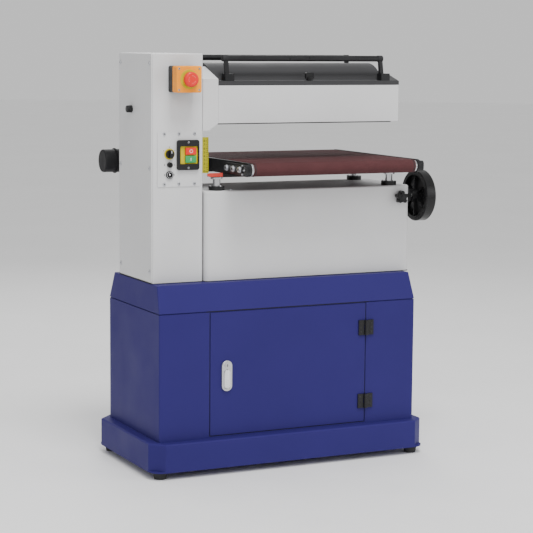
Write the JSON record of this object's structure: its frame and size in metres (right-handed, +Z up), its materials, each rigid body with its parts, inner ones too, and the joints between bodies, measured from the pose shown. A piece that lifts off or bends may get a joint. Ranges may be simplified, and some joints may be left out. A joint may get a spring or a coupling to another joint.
{
  "type": "drum sander",
  "caption": "Free-standing drum sander: cabinet on a plinth, control column, cantilevered drum head with hinged lid and rest rails, powered feed table raised by a handwheel.",
  "frame": {"origin": "on the floor, under the middle of the whole machine", "axes": "+Z up, +X to the machine's right seen from the front, front towards -Y"},
  "size_m": [0.859, 0.5149, 1.1],
  "materials": {
    "abrasive": "coated grit on cloth",
    "aluminium": "machined",
    "belt_rubber": "matte",
    "black_paint": "satin black enamel",
    "black_plastic": "moulded, fine texture",
    "chrome": "polished",
    "green_plastic": "moulded",
    "lid_charcoal": "satin powder coat",
    "orange_plastic": "moulded",
    "powder_blue": "smooth semi-gloss powder coat",
    "powder_grey": "smooth semi-gloss powder coat",
    "red_paint": "enamel",
    "red_plastic": "moulded",
    "rubber": "matte",
    "steel": "turned and ground",
    "yellow_paint": "printed enamel",
    "zinc": "zinc plated"
  },
  "bodies": {
    "frame": {"rubber_feet": "rubber", "plinth": "powder_blue", "cabinet_shell": "powder_blue", "cabinet_hood": "powder_blue", "column_shell": "powder_grey", "side_cover": "powder_grey", "case_screws": "zinc", "control_panel": "powder_grey", "switch_frame": "black_plastic", "panel_fittings": "chrome", "estop_base": "black_plastic", "estop_cover": "orange_plastic", "thickness_scale": "yellow_paint", "lift_housing": "powder_grey", "guide_flanges": "black_paint", "lift_chain": "steel", "flange_bearings": "black_paint", "head_frame": "powder_grey", "head_neck": "powder_grey", "drum_motor": "black_paint", "drive_belt": "belt_rubber", "hinge_leaves": "black_paint", "dust_port": "black_plastic", "cable_gland": "black_plastic"},
    "table": {"table_bed": "steel", "table_frame": "black_paint", "feed_belt": "abrasive", "roller_blocks": "black_paint", "table_bolts": "zinc", "gear_motor": "black_paint", "lift_posts": "chrome", "height_pointer": "red_paint"},
    "front_roller": {"front_roller": "steel"},
    "drive_roller": {"drive_roller": "steel"},
    "nut_front_left": {"lift_nut_front_left": "steel"},
    "nut_front_right": {"lift_nut_front_right": "steel"},
    "nut_rear_left": {"lift_nut_rear_left": "steel"},
    "nut_rear_right": {"lift_nut_rear_right": "steel"},
    "handwheel": {"handwheel_shaft": "steel", "handwheel": "black_plastic"},
    "grip": {"handwheel_grip": "black_plastic"},
    "lock_knob": {"lock_knob": "black_plastic"},
    "door": {"cabinet_door": "powder_blue", "door_leaves": "black_paint", "latch_body": "chrome"},
    "latch": {"latch_paddle": "chrome"},
    "drum": {"sanding_drum": "aluminium", "abrasive_wrap": "abrasive", "drum_pulley": "aluminium"},
    "motor_shaft": {"motor_pulley": "aluminium"},
    "pressure_front": {"pressure_roller_front": "rubber"},
    "pressure_rear": {"pressure_roller_rear": "rubber"},
    "lid": {"drum_lid": "lid_charcoal", "rest_rails": "black_paint"},
    "lid_knob": {"lid_knob": "black_plastic"},
    "start_button": {"start_button": "green_plastic"},
    "stop_button": {"stop_button": "red_plastic"},
    "mode_switch": {"mode_switch": "black_plastic"},
    "estop_button": {"estop_button": "red_plastic"},
    "cover_knob": {"cover_knob": "black_plastic"}
  },
  "joints": [
    {"name": "table_lift", "type": "slide", "parent": "frame", "child": "table", "axis": [0, 0, 1], "range_m": [0, 0.09]},
    {"name": "handwheel_turn", "type": "hinge", "parent": "frame", "child": "handwheel", "pos_m": [0.4005, -0.1085, 0.71], "axis": [1, 0, 0], "range_deg": [0, 3241]},
    {"name": "grip_fold", "type": "hinge", "parent": "handwheel", "child": "grip", "pos_m": [0.4225, -0.1545, 0.71], "axis": [0, 0, -1], "range_deg": [0, 90]},
    {"name": "lock_turn", "type": "hinge", "parent": "frame", "child": "lock_knob", "pos_m": [0.3365, -0.1485, 0.71], "axis": [0, 1, 0], "range_deg": [0, 180]},
    {"name": "drive_roller_spin", "type": "hinge", "parent": "table", "child": "drive_roller", "pos_m": [0.0685, 0.2225, 0.803], "axis": [1, 0, 0], "continuous": true},
    {"name": "front_roller_spin", "type": "hinge", "parent": "table", "child": "front_roller", "pos_m": [0.0685, -0.2395, 0.803], "axis": [1, 0, 0], "continuous": true},
    {"name": "drum_spin", "type": "hinge", "parent": "frame", "child": "drum", "pos_m": [0.0605, -0.0085, 0.98], "axis": [1, 0, 0], "continuous": true},
    {"name": "motor_spin", "type": "hinge", "parent": "frame", "child": "motor_shaft", "pos_m": [-0.3575, -0.0085, 0.215], "axis": [1, 0, 0], "continuous": true},
    {"name": "pressure_front_spin", "type": "hinge", "parent": "frame", "child": "pressure_front", "pos_m": [0.0605, -0.0965, 0.927], "axis": [1, 0, 0], "continuous": true},
    {"name": "pressure_rear_spin", "type": "hinge", "parent": "frame", "child": "pressure_rear", "pos_m": [0.0605, 0.0795, 0.927], "axis": [1, 0, 0], "continuous": true},
    {"name": "lid_hinge", "type": "hinge", "parent": "frame", "child": "lid", "pos_m": [0.0605, 0.113, 1.02], "axis": [-1, 0, 0], "range_deg": [0, 95]},
    {"name": "lid_knob_turn", "type": "hinge", "parent": "lid", "child": "lid_knob", "pos_m": [0.0665, -0.1085, 1.035], "axis": [0, 0, 1], "range_deg": [0, 90]},
    {"name": "door_hinge", "type": "hinge", "parent": "frame", "child": "door", "pos_m": [0.20575, -0.1945, 0.26], "axis": [0, 0, 1], "range_deg": [0, 115]},
    {"name": "latch_pull", "type": "hinge", "parent": "door", "child": "latch", "pos_m": [-0.2105, -0.1957, 0.226], "axis": [1, 0, 0], "range_deg": [0, 35], "stiffness_Nm_per_rad": 0.05},
    {"name": "start_press", "type": "slide", "parent": "frame", "child": "start_button", "axis": [0, 1, 0], "range_m": [0, 0.0025], "stiffness_N_per_m": 300},
    {"name": "stop_press", "type": "slide", "parent": "frame", "child": "stop_button", "axis": [0, 1, 0], "range_m": [0, 0.0025], "stiffness_N_per_m": 300},
    {"name": "estop_press", "type": "slide", "parent": "frame", "child": "estop_button", "axis": [0, 1, 0], "range_m": [0, 0.005], "stiffness_N_per_m": 500},
    {"name": "mode_turn", "type": "hinge", "parent": "frame", "child": "mode_switch", "pos_m": [-0.3475, -0.1335, 0.841], "axis": [0, 1, 0], "range_deg": [-60, 60]},
    {"name": "cover_knob_turn", "type": "hinge", "parent": "frame", "child": "cover_knob", "pos_m": [-0.4015, 0.0145, 0.953], "axis": [1, 0, 0], "range_deg": [0, 180]},
    {"name": "nut_front_left_turn", "type": "hinge", "parent": "frame", "child": "nut_front_left", "pos_m": [-0.2055, -0.1085, 0.64], "axis": [0, 0, 1], "range_deg": [0, 3241]},
    {"name": "nut_front_right_turn", "type": "hinge", "parent": "frame", "child": "nut_front_right", "pos_m": [0.3165, -0.1085, 0.64], "axis": [0, 0, 1], "range_deg": [0, 3241]},
    {"name": "nut_rear_left_turn", "type": "hinge", "parent": "frame", "child": "nut_rear_left", "pos_m": [-0.2055, 0.0915, 0.64], "axis": [0, 0, 1], "range_deg": [0, 3241]},
    {"name": "nut_rear_right_turn", "type": "hinge", "parent": "frame", "child": "nut_rear_right", "pos_m": [0.3165, 0.0915, 0.64], "axis": [0, 0, 1], "range_deg": [0, 3241]}
  ],
  "couplings": [
    {"joint": "handwheel_turn", "follows": "table_lift", "rad_per_m": 628.32},
    {"joint": "nut_front_left_turn", "follows": "table_lift", "rad_per_m": 628.32},
    {"joint": "nut_front_right_turn", "follows": "table_lift", "rad_per_m": 628.32},
    {"joint": "nut_rear_left_turn", "follows": "table_lift", "rad_per_m": 628.32},
    {"joint": "nut_rear_right_turn", "follows": "table_lift", "rad_per_m": 628.32},
    {"joint": "front_roller_spin", "follows": "drive_roller_spin", "ratio": 1},
    {"joint": "motor_spin", "follows": "drum_spin", "ratio": 1.2857}
  ]
}
